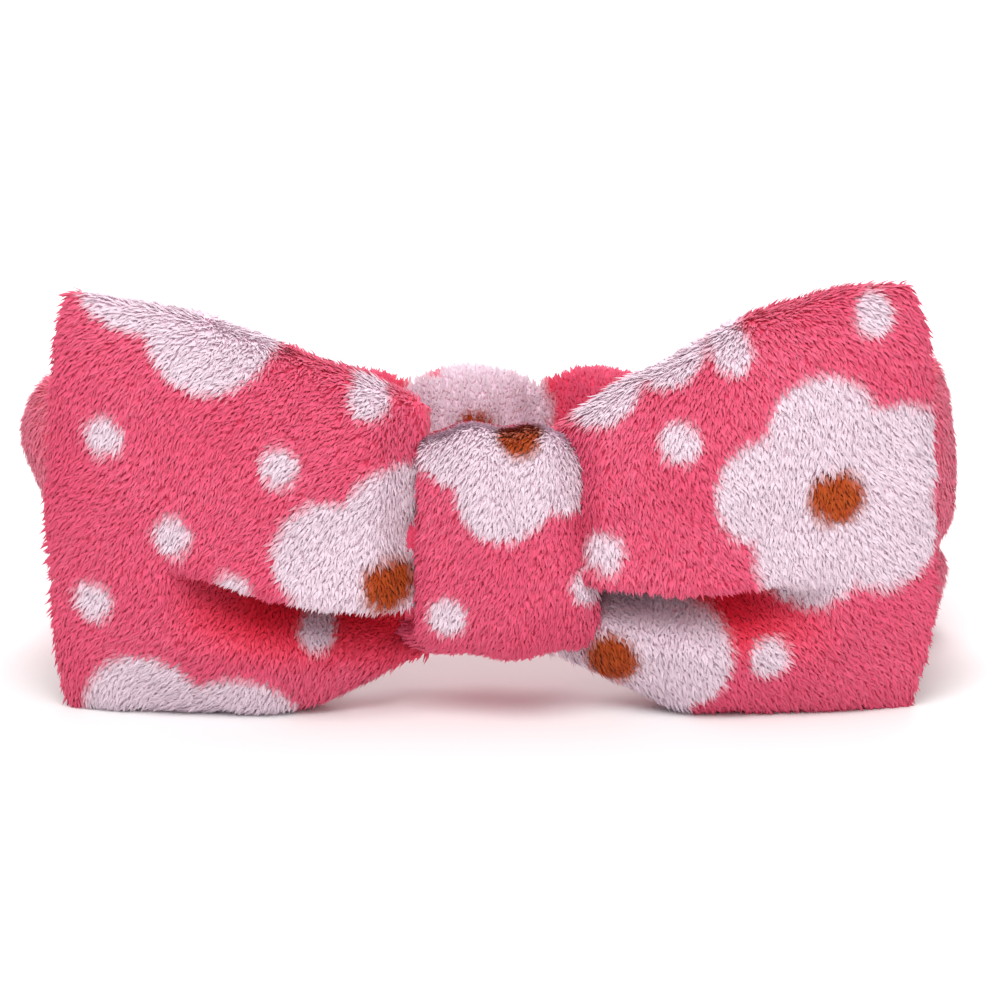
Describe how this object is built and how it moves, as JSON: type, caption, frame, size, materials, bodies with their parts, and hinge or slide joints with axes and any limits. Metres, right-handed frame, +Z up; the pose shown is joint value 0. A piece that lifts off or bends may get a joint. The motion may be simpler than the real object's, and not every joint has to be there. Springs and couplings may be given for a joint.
{
  "type": "spa headband",
  "caption": "Fleece spa headband: a gathered sleeve over an elastic loop with a large pillow bow held at the front by a wrapped knot.",
  "frame": {"origin": "middle of the bounding box in plan, on the surface the headband stands on", "axes": "+Z up along the way the head passes through, the bow faces -Y, +X to the wearer's left"},
  "size_m": [0.216, 0.1318, 0.096],
  "materials": {
    "fleece": "matte",
    "elastic": "matte",
    "thread": "satin"
  },
  "bodies": {
    "front": {"sleeve_front": "fleece", "sleeve_seam_front": "thread", "elastic_front": "elastic", "bow_gather": "fleece", "bow_tack": "thread", "knot_wrap": "fleece", "knot_seam": "thread"},
    "rear": {"sleeve_rear": "fleece", "sleeve_seam_rear": "thread", "elastic_end_left": "elastic", "elastic_end_right": "elastic", "elastic_tack": "thread"},
    "wing_left": {"wing_left_front_panel": "fleece", "wing_left_back_panel": "fleece", "wing_left_edge_seam": "thread"},
    "wing_right": {"wing_right_front_panel": "fleece", "wing_right_back_panel": "fleece", "wing_right_edge_seam": "thread"}
  },
  "joints": [
    {"name": "band_stretch", "type": "slide", "parent": "front", "child": "rear", "axis": [0, 1, 0], "range_m": [-0.035, 0.065], "stiffness_N_per_m": 80},
    {"name": "wing_left_fold", "type": "hinge", "parent": "front", "child": "wing_left", "pos_m": [-0.0215, -0.0535, 0.04], "axis": [0, 0, 1], "range_deg": [-6, 35], "stiffness_Nm_per_rad": 0.02},
    {"name": "wing_right_fold", "type": "hinge", "parent": "front", "child": "wing_right", "pos_m": [0.0215, -0.0535, 0.04], "axis": [0, 0, -1], "range_deg": [-6, 35], "stiffness_Nm_per_rad": 0.02}
  ]
}
